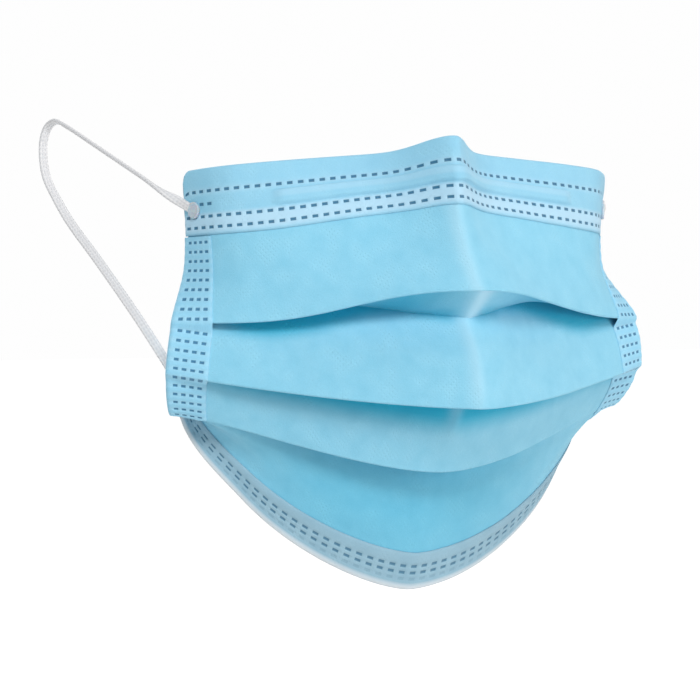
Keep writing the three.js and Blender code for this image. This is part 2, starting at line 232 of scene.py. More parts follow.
def sidePoint(ply, down):
    ply, down = np.broadcast_arrays(np.asarray(ply, dtype=float), np.asarray(down, dtype=float))
    at = down / maskHeight
    inFront = sum(2 * smoothStep(down, fold - maskForm["foldEase"], fold + maskForm["foldEase"]) for fold in folds)
    edge = np.stack([
        readTable(sideEdge, at, "out") * halfWidth,
        readTable(sideEdge, at, "back") * maskForm["sideDepth"],
        -readTable(sideEdge, at, "drop") * maskHeight,
    ], axis=-1)
    return edge + ((ply - inFront) * maskForm["plyStep"])[..., None] * pressInward


def middlePoints():
    points = [np.array([0, maskForm["noseForward"] - maskForm["seatOffset"], -maskForm["noseRise"]])]
    for ply in plies:
        lean = math.radians(ply["lean"])
        chord = abs(ply["end"] - ply["start"]) * ply["take"]
        points.append(points[-1] + chord * np.array([0, math.sin(lean), -math.cos(lean)]))
    return np.array(points)


middle = middlePoints()
sides = np.array([sidePoint(0, 0)] + [sidePoint(i + 0.5, plies[i + 1]["start"]) for i in range(6)]
                 + [sidePoint(6, maskHeight)])
lineShape = {name: column(lines, name) for name in lines[0] if name != "name"}
plyShape = {name: column(plies, name) for name in ("start", "end", "bow")}


def linePoint(index, across):
    share = np.clip(np.abs(across), 0, 1)
    blunt = lineShape["round"][index]
    backShare = (np.hypot(share, blunt) - blunt) / (np.hypot(1, blunt) - blunt)
    start = np.where(across > 0, lineShape["startRight"][index], lineShape["start"][index])
    settle = np.where(across > 0, lineShape["settleRight"][index], lineShape["settle"][index])
    dropShare = 1 - (1 - share ** start) ** settle
    swing = 1 + lineShape["spread"][index] * (1 - share ** 2)
    side, mid = sides[index], middle[index]
    return np.stack([
        across * side[..., 0] * swing,
        mix(mid[..., 1], side[..., 1], backShare),
        mix(mid[..., 2], side[..., 2], dropShare),
    ], axis=-1)


# Where the cloth turns at a fold or valley: its point, the way out of the fold, and the way to the next ply
def turnAt(index, across):
    probe = 0.01
    here = linePoint(index, across)
    before = linePoint(index, np.maximum(across - probe, -1))
    after = linePoint(index, np.minimum(across + probe, 1))
    arrive = unit(here - linePoint(index - 1, across))
    leave = unit(linePoint(index + 1, across) - here)
    outOfFold = unit(arrive - leave)
    layer = unit(np.cross(unit(after - before), outOfFold))
    layer = layer * np.where(index % 2 == 0, -1.0, 1.0)[..., None]
    return here, outOfFold, layer


# How far the wired upper part is moved from an even curve
def topShift(ply, down, across):
    share = np.abs(across)
    held = (ply <= 2) * np.clip(1 - (down / folds[0]) ** 2, 0, 1)
    toRight = np.clip(across, 0, 1) ** 4
    wide = np.sign(across) * readTable(topShape, share, "wide") + maskForm["cheekOut"] * share ** 2
    back = readTable(topShape, share, "back")
    return np.stack([
        (wide + maskForm["rightOut"] * toRight) * held,
        (back - maskForm["rightForward"] * toRight) * held,
        0 * held,
    ], axis=-1)


# The middle surface of the cloth on one ply, before its wrinkles. The upper corners are cut round.
def plainPoint(ply, down, across):
    ply, down, across = np.broadcast_arrays(ply, down, across)
    down, across = down.astype(float), across.astype(float)
    radius, depth = maskForm["cornerRadius"], maskForm["cornerDepth"]
    inCorner = np.clip(radius - (1 - np.abs(across)) * halfWidth, 0, radius)
    cut = radius - np.sqrt(radius ** 2 - inCorner ** 2 + 1e-9)
    down = np.where((ply == 0) & (down < depth), down + cut * (1 - down / depth) ** 2, down)
    start, end = plyShape["start"][ply], plyShape["end"][ply]
    share = np.abs(across)
    along = (down - start) / (end - start)
    halfStep = maskForm["plyStep"] / 2
    here, _, layer = turnAt(np.maximum(ply, 1), across)
    first = np.where((ply == 0)[..., None], linePoint(0 * ply, across), here + layer * halfStep)
    here, _, layer = turnAt(np.minimum(ply + 1, 6), across)
    last = np.where((ply == 6)[..., None], linePoint(0 * ply + 7, across), here - layer * halfStep)
    point = mix(first, last, along[..., None])
    chord = mix(sidePoint(ply, start), sidePoint(ply, end), along[..., None])
    sideShape = sidePoint(ply, down) - chord
    sideShape[..., 0] *= np.sign(across)
    point = point + sideShape * (share ** maskForm["edgeHold"])[..., None]
    bow = plyShape["bow"][ply] * np.abs(end - start)
    point[..., 1] -= bow * np.sin(math.pi * along) * (1 - share) ** 2
    nearNose = hump(across * halfWidth, maskForm["noseShift"], maskForm["noseHalfWidth"])
    bridge = (ply == 0) * nearNose * np.maximum(1 - along, 0) ** maskForm["bridgeFade"]
    point[..., 1] -= maskForm["noseForward"] * bridge
    point[..., 2] += maskForm["noseRise"] * bridge
    point += topShift(ply, down, across)
    # Below the third fold the lowest panel flares beside the bands. It turns to the front on the left and away
    # on the right.
    chin = (ply == 6) * np.clip((down - folds[2]) / (maskHeight - folds[2]), 0, 1)
    flare = smoothStep(share, 0.6, 0.88) * (1 - smoothStep(share, 0.94, 1))
    point[..., 0] += np.where(across > 0, 0.35, -1) * maskForm["flare"] * flare * chin
    onLeft = maskForm["chinTurn"] * np.clip(-across, 0, 1) ** 3 * (1 - share ** 14)
    onRight = maskForm["chinTuck"] * np.clip(across, 0, 1) ** 2 * (1 - share ** 12)
    point[..., 0] += 0.5 * (onLeft + onRight) * np.sin(math.pi * chin)
    point[..., 2] += (onLeft - onRight) * np.sin(math.pi * chin)
    return point


# How far down the cut sheet a point lies, which runs on through the folds
plyLengths = np.abs(plyShape["end"] - plyShape["start"])
plyTops = np.concatenate([[0], np.cumsum(plyLengths)[:-1]])


def cutAt(ply, down):
    return plyTops[ply] + np.abs(down - plyShape["start"][ply])


# Smooth noise from -1 to 1 over arrays of places, the same on every run
def waves(x, y, seed):
    flat = [noise.noise(Vector((a, b, seed))) for a, b in zip(np.ravel(x), np.ravel(y))]
    return np.array(flat).reshape(np.shape(x))


# The wrinkles and sags of the worn cloth, in millimetres outwards, over the cut sheet
wrinkleSet = {
    "sag": {"height": 0.75, "long": 26, "tall": 19, "seed": 3.1},     # soft unevenness
    "ripple": {"height": 0.22, "long": 10, "tall": 6, "seed": 8.4},   # shallow ripples
    "crease": {"height": 0.07, "long": 4.2, "tall": 2.1, "seed": 5.7},  # fine creases from packing
    "calmFrom": 0.8,      # the bands hold the cloth flat, from this share of the half width
    "calmAt": 0.92,
    "ridge": 1.3,         # the mask was folded in two down its middle, which leaves a ridge
    "ridgeWidth": 4,
    "ridgeAt": -1.7,      # from the middle of the cut sheet
    "ridgeRound": 0.5,
    "ridgeStarts": (-4, 12),  # it grows and ends between these heights of the flat mask
    "ridgeEnds": (50, 66),
}


def fromRidge(across):
    return across * halfWidth - wrinkleSet["ridgeAt"]


# Plies that lie on each other share them, as they go by the height on the flat mask
def wrinkles(across, down):
    x = across * halfWidth
    free = 1 - smoothStep(np.abs(across), wrinkleSet["calmFrom"], wrinkleSet["calmAt"])
    sag, ripple, crease = [waves(x / size["long"], down / size["tall"], size["seed"]) * size["height"]
                           for size in (wrinkleSet["sag"], wrinkleSet["ripple"], wrinkleSet["crease"])]
    crown = wrinkleSet["ridgeRound"]
    ridge = np.exp((crown - np.hypot(fromRidge(across), crown)) / wrinkleSet["ridgeWidth"])
    ridge = ridge * wrinkleSet["ridge"] * (1 - smoothStep(down, *wrinkleSet["ridgeEnds"]))
    ridge = ridge * smoothStep(down, *wrinkleSet["ridgeStarts"])
    return (sag + ripple) * free + crease * (0.3 + 0.7 * free) + ridge  # fine creases go on under the bands


# The way out of the mask in plan, turned toward each side as the face's cheeks would turn it
def planNormal(across):
    turn = np.radians(maskForm["sideTurn"]) * np.tanh(across * 2.2)
    return np.stack([np.sin(turn), -np.cos(turn), 0 * turn], axis=-1)


def clothPoint(ply, down, across):
    ply, down, across = np.broadcast_arrays(ply, down, across)
    offset = wrinkles(across, down)
    return plainPoint(ply, down, across) + planNormal(across) * offset[..., None]


# At a place on the cloth: the ways outward, to the right and down
def clothFrame(ply, down, across):
    probe = 0.4
    left = plainPoint(ply, down, np.maximum(across - probe / halfWidth, -1))
    right = plainPoint(ply, down, np.minimum(across + probe / halfWidth, 1))
    above, below = plainPoint(ply, down - probe, across), plainPoint(ply, down + probe, across)
    alongX = unit(right - left)
    outward = unit(np.cross(unit(below - above), alongX))
    return outward, alongX, unit(np.cross(alongX, outward))


def overCloth(ply, down, across, lift):
    ply, down, across, lift = np.broadcast_arrays(ply, down, across, lift)
    outward, _, _ = clothFrame(ply, down, across)
    return clothPoint(ply, down, across) + outward * lift[..., None]


# A grid of quads whose columns run towards +X and whose rows run down, each corner then moved to its place.
# place takes the column and row numbers of all the corners and returns points in millimetres, the places on the
# flat cloth in millimetres, how much each corner is pressed by a weld, how pale it is with its whitish tone and
# painted highlights, and for the pleated cloth how much painted shade it has deep in a pleat.
def gridPiece(name, columns, rows, place, materials, wall):
    shape = bmesh.new()
    bmesh.ops.create_grid(shape, x_segments=columns - 1, y_segments=rows - 1, size=0.5)
    mesh = bpy.data.meshes.new(name)
    shape.to_mesh(mesh)
    shape.free()
    corners = np.empty(len(mesh.vertices) * 3)
    mesh.vertices.foreach_get("co", corners)
    corners = corners.reshape(-1, 3)
    columnOf = np.rint((corners[:, 0] + 0.5) * (columns - 1)).astype(int)
    rowOf = np.rint((0.5 - corners[:, 1]) * (rows - 1)).astype(int)
    points, flat, *marks = place(columnOf, rowOf)
    mesh.vertices.foreach_set("co", (points * mm).ravel())
    for label, values in zip(("weld", "pale", "pleatShade"), marks):
        mesh.attributes.new(label, "FLOAT", "POINT").data.foreach_set("value", values.astype(np.float32))
    uvMap = mesh.uv_layers.new(name="flat")
    vertexOf = np.empty(len(mesh.loops), dtype=int)
    mesh.loops.foreach_get("vertex_index", vertexOf)
    uvMap.data.foreach_set("uv", (flat[vertexOf] / 200 + 0.5).ravel())  # 200 mm to one unit
    mesh.shade_smooth()
    for material in materials:
        mesh.materials.append(material)
    mesh.update()
    piece = bpy.data.objects.new(name, mesh)
    scene.collection.objects.link(piece)
    if wall:
        solid = piece.modifiers.new("wall", "SOLIDIFY")
        solid.thickness = wall * mm
        solid.offset = 0
        solid.material_offset = len(materials) - 1
        solid.material_offset_rim = 0
    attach(piece, "root")
    return piece


# Spunbonded polypropylene: fine random fibres in a soft mat with a lattice of tiny bond points, which gives an
# even matt face with a faint grain and a soft sheen at grazing angles. The bond points are drawn 1.5 mm apart so
# that they show.
def spunbond(name, setting):
    material, tree, shader = newMaterial(name)
    uv = addNode(tree, "ShaderNodeUVMap", {"uv_map": "flat"})
    place = addNode(tree, "ShaderNodeMapping", {"Scale": (200, 200, 1)}, {"Vector": uv.outputs["UV"]})
    millimetres = place.outputs["Vector"]
    axes = addNode(tree, "ShaderNodeSeparateXYZ", links={"Vector": millimetres})
    lattice = []
    for axis in ("X", "Y"):  # bond points stand a pitch apart both ways
        turn = addNode(tree, "ShaderNodeMath", {"operation": "MULTIPLY", 1: 2 * math.pi / setting["bondPitch"]},
                       {0: axes.outputs[axis]})
        lattice.append(addNode(tree, "ShaderNodeMath", {"operation": "SINE"}, {0: turn.outputs[0]}))
    bond = addNode(tree, "ShaderNodeMath", {"operation": "MULTIPLY"},
                   {0: lattice[0].outputs[0], 1: lattice[1].outputs[0]})
    bondDip = addNode(tree, "ShaderNodeMapRange", {"From Min": 0.25, "From Max": 0.8}, {"Value": bond.outputs[0]})
    # Fibres are 0.02 mm thick; drawn in clumps of about 0.3 mm so that they show
    fibres = addNode(tree, "ShaderNodeTexNoise", {"Scale": 2.6, "Detail": 4, "Roughness": 0.65, "Distortion": 0.6},
                     {"Vector": millimetres})
    # Uneven laying of the fibres makes cloudy patches about 6 mm across
    clouds = addNode(tree, "ShaderNodeTexNoise", {"Scale": 0.16, "Detail": 3, "Roughness": 0.5},
                     {"Vector": millimetres})
    cloudTone = addNode(tree, "ShaderNodeMix", {"data_type": "RGBA"}, {"Factor": clouds.outputs["Fac"]})
    cloudTone.inputs[6].default_value = linear(setting["dark"])
    cloudTone.inputs[7].default_value = linear(setting["light"])
    grain = addNode(tree, "ShaderNodeMapRange", {"From Min": 0.3, "From Max": 0.7, "To Min": 0.955, "To Max": 1.03},
                    {"Value": fibres.outputs["Fac"]})
    grainTone = addNode(tree, "ShaderNodeVectorMath", {"operation": "SCALE"},
                        {0: cloudTone.outputs[2], "Scale": grain.outputs["Result"]})
    # Painted shade: deep in a pleat the light has passed from layer to layer, which takes the red out of it. The
    # render's light does this too weakly, so this shade is painted on by the attribute, matched to the photo.
    pleatShade = addNode(tree, "ShaderNodeAttribute", {"attribute_name": setting.get("pleatShadeBy", "pleatShade")})
    pleatShadeTone = addNode(tree, "ShaderNodeMix", {"data_type": "RGBA", "blend_type": "MULTIPLY"},
                       {"Factor": pleatShade.outputs["Fac"]})
    tree.links.new(grainTone.outputs[0], pleatShadeTone.inputs[6])
    # the colour of the painted shade, multiplied in where the pleats lie in shade
    pleatShadeTone.inputs[7].default_value = linear("#3ad0de")
    # Where hems are welded flat, split fibre shows whitish; the same pale tone is painted as highlight down the ridge
    # crease, on the wire's upper slope and along the welds
    pale = addNode(tree, "ShaderNodeAttribute", {"attribute_name": setting.get("paleBy", "pale")})
    paleTone = addNode(tree, "ShaderNodeMix", {"data_type": "RGBA"}, {"Factor": pale.outputs["Fac"]})
    tree.links.new(pleatShadeTone.outputs[2], paleTone.inputs[6])
    paleTone.inputs[7].default_value = linear(setting["pale"])
    # A weld melts the fibres to clear film, which shows darker and smoother
    weld = addNode(tree, "ShaderNodeAttribute", {"attribute_name": "weld"})
    weldTone = addNode(tree, "ShaderNodeMix", {"data_type": "RGBA"}, {"Factor": weld.outputs["Fac"]})
    tree.links.new(paleTone.outputs[2], weldTone.inputs[6])
    weldTone.inputs[7].default_value = linear(setting["weld"])
    gloss = addNode(tree, "ShaderNodeMapRange", {"To Min": setting["roughness"], "To Max": 0.42},
                    {"Value": weld.outputs["Fac"]})
    bondDepth = addNode(tree, "ShaderNodeMapRange",
                        {"From Min": 0.52, "From Max": 0.64, "To Min": -0.1, "To Max": -1},
                        {"Value": clouds.outputs["Fac"]})
    bondHeight = addNode(tree, "ShaderNodeMath", {"operation": "MULTIPLY"},
                         {0: bondDip.outputs["Result"], 1: bondDepth.outputs["Result"]})
    height = addNode(tree, "ShaderNodeMath", {"operation": "ADD"},
                     {0: bondHeight.outputs[0], 1: fibres.outputs["Fac"]})
    bump = addNode(tree, "ShaderNodeBump", {"Strength": setting["bump"], "Distance": 0.00012},
                   {"Height": height.outputs[0]})
    tree.links.new(weldTone.outputs[2], shader.inputs["Base Color"])
    tree.links.new(gloss.outputs["Result"], shader.inputs["Roughness"])
    tree.links.new(bump.outputs["Normal"], shader.inputs["Normal"])
    shader.inputs["IOR"].default_value = 1.45
    shader.inputs["Specular IOR Level"].default_value = 0.3
    shader.inputs["Sheen Weight"].default_value = 0.15
    shader.inputs["Sheen Roughness"].default_value = 0.5
    return material


# The blue cloth's pale is the colour of its painted ridge highlight
outerCloth = spunbond("spunbondPolypropyleneBlue", {
    "pale": "#bfe4f4", "dark": "#7ac3e0", "light": "#97d6ee", "weld": "#3d7fa2",
    "bondPitch": 1.5, "roughness": 0.78, "bump": 0.6})
innerCloth = spunbond("spunbondPolypropyleneWhite", {
    "paleBy": "none", "pleatShadeBy": "none",  # the inner face has neither the whitish tone with its painted highlights nor the painted pleat shade
    "pale": "#f2f5f6", "dark": "#e6ecef", "light": "#f2f5f6", "weld": "#b9c8cf",
    "bondPitch": 1.5, "roughness": 0.8, "bump": 0.5})
hemCloth = spunbond("foldedSpunbondHem", {
    "pale": "#afd7ed", "dark": "#86c5e2", "light": "#9ad2ea", "weld": "#3c7494",
    "bondPitch": 1.5, "roughness": 0.74, "bump": 0.5})
lowerHemCloth = spunbond("foldedSpunbondLowerHem", {
    "pale": "#dbe4ea", "dark": "#84adc2", "light": "#9cc1d2", "weld": "#4f7f9a",
    "bondPitch": 1.5, "roughness": 0.74, "bump": 0.5})
# The band's pale is the colour of its painted highlights along the weld rows
bandCloth = spunbond("weldedSpunbondBand", {
    "pale": "#bfe2f2", "dark": "#86c9e8", "light": "#9ad6f0", "weld": "#3f7ea3",
    "bondPitch": 1.5, "roughness": 0.74, "bump": 0.5})


# The pleated cloth: one sheet that runs down through every fold and valley
clothSet = {"columnStep": 0.9, "rowStep": 1.15, "turnAngles": (-55, 0, 55), "insideBand": 0.7}


def clothRows():
    rows = []
    for ply in range(7):
        start, end = plyShape["start"][ply], plyShape["end"][ply]
        count = int(abs(end - start) / clothSet["rowStep"]) + 5
        for i in range(count):  # rows stand closer near the folds
            share = i / (count - 1)
            share = mix(share, 0.5 - 0.5 * math.cos(math.pi * share), 0.55)
            rows.append((ply, mix(start, end, share), None))
        if ply < 6:
            rows += [(ply, end, math.radians(angle)) for angle in clothSet["turnAngles"]]
    return rows


# The painted shade of the pleats on each ply, matched to the photo: it has its most from the top of the flat mask down
# to full and fades out until none, in millimetres. The second and third undersides have it all over.
pleatShadeTones = [
    {"ply": 1, "full": 25.75, "none": 38, "most": 0.95},
    {"ply": 2, "full": 27, "none": 32, "most": 1},
    {"ply": 3, "full": 90, "none": 91, "most": 1},
    {"ply": 4, "full": 51.5, "none": 59.5, "most": 1},
    {"ply": 5, "full": 90, "none": 91, "most": 1},
    # the chin panel gets half strength painted shade, fading toward its bottom
    {"ply": 6, "full": 61, "none": 130, "most": 0.5},
]


pleatShadeSet = {
    "shut": 11,                # the first pleat shuts toward the sides, so there the second panel shows from
    "shutsOver": (0.2, 0.75),  # this much further down
    "hollows": [(-0.32, 0.22), (0.5, 0.3)],  # painted shade in the opening's two deep places beside the nose: middle and reach
    "hollow": 0.95,
    "overNose": (2, 4.5),      # the fold over the nose is lit: from the ridge, and reach, in millimetres
    "right": -0.12,            # the painted shade of the folds runs further out on the right
    "chinRight": 0.15,         # and that of the chin less far
    "fadeFrom": 0.76,          # toward the bands
    "chinFadeFrom": 0.25,
    "fadeAt": 0.95,
}


def pleatShadeIn(ply, down, across):
    pleatShade = np.zeros(len(across))
    shut = np.where(ply == 2, pleatShadeSet["shut"] * smoothStep(np.abs(across), *pleatShadeSet["shutsOver"]), 0)
    for tone in pleatShadeTones:
        faded = 1 - smoothStep(down - shut, tone["full"], tone["none"])
        pleatShade = np.where(ply == tone["ply"], tone["most"] * faded, pleatShade)
    beside = sum(hump(across, middle, reach) for middle, reach in pleatShadeSet["hollows"])
    pleatShade = np.where(ply == 1, np.maximum(pleatShade, pleatShadeSet["hollow"] * np.minimum(beside, 1)), pleatShade)
    overNose = hump(fromRidge(across), *pleatShadeSet["overNose"]) * (ply <= 2)
    outward = np.where(across > 0, across + np.where(ply == 6, pleatShadeSet["chinRight"], pleatShadeSet["right"]), -across)
    fadeFrom = np.where(ply == 6, pleatShadeSet["chinFadeFrom"], pleatShadeSet["fadeFrom"])
    return pleatShade * (1 - smoothStep(outward, fadeFrom, pleatShadeSet["fadeAt"])) * (1 - overNose)


# Painted highlight down the middle ridge as far as the second pleat, where the ridge catches the light.
# The first underside has its highlight a little to the right of the ridge, wider and stronger.
ridgeHighlightSet = {
    "panels": {"aside": -0.8, "reach": 2.4, "amount": 0.35},
    "underside": {"aside": 2.5, "reach": 3.6, "amount": 0.6},
    "ends": (46, 62),
}


def ridgeHighlight(ply, down, across):
    line = {name: np.where(ply == 1, ridgeHighlightSet["underside"][name], value) for name, value in ridgeHighlightSet["panels"].items()}
    near = line["amount"] * hump(fromRidge(across), line["aside"], line["reach"])
    return near * (1 - smoothStep(down, *ridgeHighlightSet["ends"]))


def makeCloth():
    rows = clothRows()
    columns = int(maskForm["width"] / clothSet["columnStep"]) | 1
    plyOf = np.array([row[0] for row in rows])
    downOf = np.array([row[1] for row in rows])
    turns = np.array([row[2] is not None for row in rows])
    angles = np.array([row[2] or 0 for row in rows])

    def place(columnNumber, rowNumber):
        across = (columnNumber / (columns - 1) * 2 - 1) * (1 - clothSet["insideBand"] / halfWidth)
        ply, down, angle = plyOf[rowNumber], downOf[rowNumber], angles[rowNumber]
        isTurn = turns[rowNumber]
        points = plainPoint(ply, down, across)
        here, outOfFold, layer = turnAt(np.minimum(ply + 1, 6), across)
        radius = maskForm["plyStep"] / 2
        bend = outOfFold * np.cos(angle)[:, None] + layer * np.sin(angle)[:, None]
        turned = here + topShift(ply, down, across) + radius * bend
        points = np.where(isTurn[:, None], turned, points)
        cut = cutAt(ply, down)
        points = points + planNormal(across) * wrinkles(across, down)[:, None]
        flat = np.stack([across * halfWidth, -cut], axis=-1)
        return points, flat, np.zeros(len(across)), ridgeHighlight(ply, down, across), pleatShadeIn(ply, down, across)

    piece = gridPiece("pleatedCloth", columns, len(rows), place, [outerCloth, innerCloth], maskForm["cloth"])
    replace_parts(piece, "mask_body")
    return piece


pleatedCloth = makeCloth()
print("pleated cloth is made,", len(pleatedCloth.data.polygons), "faces")


# Weld dashes: where the marks of a row start and end, as grid lines with a narrow sloping border
weldSet = {"border": 0.18, "depth": 0.13}


def dashLines(start, end, pitch, dash):
    count = max(round((end - start) / pitch), 1)
    pitch = (end - start) / count
    border, gap = weldSet["border"], pitch - dash
    stops, pressed = [], []
    for i in range(count):
        left = start + i * pitch + gap / 2
        stops += [left - gap / 2, left, left + border, left + dash / 2, left + dash - border, left + dash]
        pressed += [0, 0, 1, 1, 1, 0]
    return np.array(stops + [end]), np.array(pressed + [0])


def rowLines(start, end, centres, dash, step):
    border = weldSet["border"]
    stops = {}
    for centre in centres:
        for offset, pressed in ((-dash / 2, 0), (-dash / 2 + border, 1), (dash / 2 - border, 1), (dash / 2, 0)):
            stops[round(centre + offset, 3)] = pressed
    count = max(round((end - start) / step), 1)
    for i in range(count + 1):
        plain = round(mix(start, end, i / count), 3)
        if i in (0, count) or all(abs(plain - centre) > dash / 2 + 0.2 for centre in centres):
            stops.setdefault(plain, 0)
    downs = sorted(stops)
    return np.array(downs), np.array([stops[down] for down in downs])


# How the cloth puffs up between the weld rows
def puffBetween(down, centres, reach, height):
    nearest = np.min([np.abs(down - centre) for centre in centres], axis=0)
    return height * (1 - hump(nearest, 0, reach))


topHemSet = {
    "height": 17.3,
    "wall": 0.22,
    "lift": 0.34,           # cloth's middle to the hem's middle
    "welds": (5.7, 12.4, 15.3),
    "dash": (1.95, 1.05),
    "pitch": 3.3,
    "wireAt": 9.1,
    "wireHalf": 1.6,
    "wireRows": (2.2, 1.9, 1.6, 1.2),  # rows of corners each side of the wire's middle
    "wireRamp": 0.5,
    "wireRaise": 0.9,
    "wireLength": 104,
    "wireFade": 4,          # how far past its ends the strip comes down again
    "innerLeg": 6,          # how far the strip is folded over to the inner side
    "puff": 0.16,
    "puffReach": 0.9,
    "sink": 0.2,            # how far the strip's free edge is pressed down, and over what height
    "sinkOver": 1.2,
    "paleFrom": (10.9, 12.3),  # the part below the wire is whitish
    "paleTo": 1.4,          # and fades over this height at the strip's free edge
    "wireHighlight": 0.35,
    "weldHighlight": 0.5,        # painted highlight round the upper welds
    "marksAt": 9.1,         # two more welds beside the upper left pad
    "marksFrom": -80.5,
    "marksTo": -74,
}


def makeTopHem():
    setting = topHemSet
    acrossMm, pressedAcross = dashLines(-halfWidth, halfWidth, setting["pitch"], setting["dash"][0])
    wireRows = [setting["wireAt"] + side * offset for side in (-1, 1) for offset in setting["wireRows"]]
    allRows = setting["welds"] + (setting["marksAt"],)
    downs, pressedDown = rowLines(0, setting["height"], allRows, setting["dash"][1], 0.8)
    extra = [row for row in wireRows if np.min(np.abs(downs - row)) > 0.12]
    order = np.argsort(np.concatenate([downs, extra]))
    downs = np.concatenate([downs, extra])[order]
    pressedDown = np.concatenate([pressedDown, np.zeros(len(extra))])[order]
    legSteps = np.linspace(setting["innerLeg"], 0.6, 6)  # up the inside first, then round the edge
    wrapAngles = np.radians([-90, -55, -20, 20, 55])
    innerCount, wrapCount = len(legSteps), len(wrapAngles)
    rows = innerCount + wrapCount + len(downs)

    def place(columnNumber, rowNumber):
        across = acrossMm[columnNumber] / halfWidth
        isInner = rowNumber < innerCount
        isWrap = (rowNumber >= innerCount) & (rowNumber < innerCount + wrapCount)
        outerRow = np.clip(rowNumber - innerCount - wrapCount, 0, len(downs) - 1)
        down = np.where(isInner, legSteps[np.minimum(rowNumber, innerCount - 1)], downs[outerRow])
        down = np.where(isWrap, 0, down)
        weld = pressedAcross[columnNumber] * pressedDown[outerRow] * ~(isInner | isWrap)
        x = across * halfWidth
        hasMark = (x > setting["marksFrom"]) & (x < setting["marksTo"])
        weld = weld * (hasMark | (np.abs(down - setting["marksAt"]) > setting["dash"][1]))
        offset = np.abs(down - setting["wireAt"])
        overWire = smoothStep(-offset, -setting["wireHalf"] - setting["wireRamp"], -setting["wireHalf"])
        wireEnd = setting["wireLength"] / 2
        overWire = overWire * smoothStep(-np.abs(across * halfWidth), -wireEnd - setting["wireFade"], -wireEnd)
        puff = puffBetween(down, setting["welds"], setting["puffReach"], setting["puff"])
        lift = setting["lift"] + puff + overWire * setting["wireRaise"] - weldSet["depth"] * weld
        lift -= setting["sink"] * smoothStep(down, setting["height"] - setting["sinkOver"], setting["height"])
        points = overCloth(0 * columnNumber, down, across, lift)
        outward, _, downward = clothFrame(0 * columnNumber, down, across)
        base = clothPoint(0 * columnNumber, down, across)
        inner = base - outward * setting["lift"]
        angle = wrapAngles[np.clip(rowNumber - innerCount, 0, wrapCount - 1)]
        wrap = base + setting["lift"] * (outward * np.sin(angle)[:, None] - downward * np.cos(angle)[:, None])
        points = np.where(isInner[:, None], inner, np.where(isWrap[:, None], wrap, points))
        flat = np.stack([across * halfWidth, -np.where(isInner, -down, down)], axis=-1)
        height = setting["height"]
        pale = smoothStep(down, *setting["paleFrom"]) * smoothStep(-down, -height, setting["paleTo"] - height)
        pale = pale * ~isInner
        # Painted highlight: the upper slope over the wire, which catches the light, is painted lighter, as the photo
        # has it
        pale = np.maximum(pale, setting["wireHighlight"] * overWire * (down < setting["wireAt"]))
        # Painted highlight round the upper welds, where the puffed cloth catches the light
        pale = np.maximum(pale, setting["weldHighlight"] * hump(down, setting["welds"][0], setting["puffReach"]))
        return points, flat, weld.astype(float), pale

    piece = gridPiece("topHemStrip", len(acrossMm), rows, place, [hemCloth], setting["wall"])
    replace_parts(piece, "top_hem")
    return piece


topHemStrip = makeTopHem()
print("top hem is made,", len(topHemStrip.data.polygons), "faces")


bottomHemSet = {
    "height": 9.8,
    "wall": 0.22,
    "lift": 0.34,
    "welds": (88.9, 90.7, 92.4),
    "dash": (1.95, 1.0),
    "pitch": 3.3,
    "innerLeg": 6,
    "puff": 0.16,
    "puffReach": 0.9,
    "sink": 0.2,
    "sinkOver": 1.2,
    "lastRow": 0.25,        # the lowest row is pressed only lightly
    "rim": (1.5, 0.3),      # the rim turns whitish between these heights above the lower edge
}


def makeBottomHem():
    setting = bottomHemSet
    acrossMm, pressedAcross = dashLines(-halfWidth, halfWidth, setting["pitch"], setting["dash"][0])
    top = maskHeight - setting["height"]
    downs, pressedDown = rowLines(top, maskHeight, setting["welds"], setting["dash"][1], 0.8)
    wrapAngles = np.radians([55, 20, -20, -55, -90])
    legSteps = maskHeight - np.linspace(0.6, setting["innerLeg"], 6)
    outerCount, wrapCount = len(downs), len(wrapAngles)
    rows = outerCount + wrapCount + len(legSteps)

    def place(columnNumber, rowNumber):
        across = acrossMm[columnNumber] / halfWidth
        last = 0 * columnNumber + 6
        isInner = rowNumber >= outerCount + wrapCount
        isWrap = (rowNumber >= outerCount) & ~isInner
        outerRow = np.minimum(rowNumber, outerCount - 1)
        innerRow = np.clip(rowNumber - outerCount - wrapCount, 0, len(legSteps) - 1)
        down = np.where(isInner, legSteps[innerRow], np.where(isWrap, maskHeight, downs[outerRow]))
        weld = pressedAcross[columnNumber] * pressedDown[outerRow] * ~(isInner | isWrap)
        weld = weld * np.where(down > setting["welds"][2] - setting["dash"][1], setting["lastRow"], 1)
        puff = puffBetween(down, setting["welds"], setting["puffReach"], setting["puff"])
        lift = setting["lift"] + puff - weldSet["depth"] * weld
        lift -= setting["sink"] * smoothStep(-down, -top - setting["sinkOver"], -top)
        points = overCloth(last, down, across, lift)
        outward, _, downward = clothFrame(last, down, across)
        base = clothPoint(last, down, across)
        angle = wrapAngles[np.clip(rowNumber - outerCount, 0, wrapCount - 1)]
        wrap = base + setting["lift"] * (outward * np.sin(angle)[:, None] + downward * np.cos(angle)[:, None])
        inner = base - outward * setting["lift"]
        points = np.where(isInner[:, None], inner, np.where(isWrap[:, None], wrap, points))
        flat = np.stack([across * halfWidth, -np.where(isInner, 2 * maskHeight - down, down)], axis=-1)
        pale = np.where(isInner | isWrap, 1, smoothStep(down, *(maskHeight - r for r in setting["rim"])))
        return points, flat, weld.astype(float), pale

    piece = gridPiece("bottomHemStrip", len(acrossMm), rows, place, [lowerHemCloth], setting["wall"])
    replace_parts(piece, "bottom_hem")
    return piece


bottomHemStrip = makeBottomHem()
print("bottom hem is made,", len(bottomHemStrip.data.polygons), "faces")


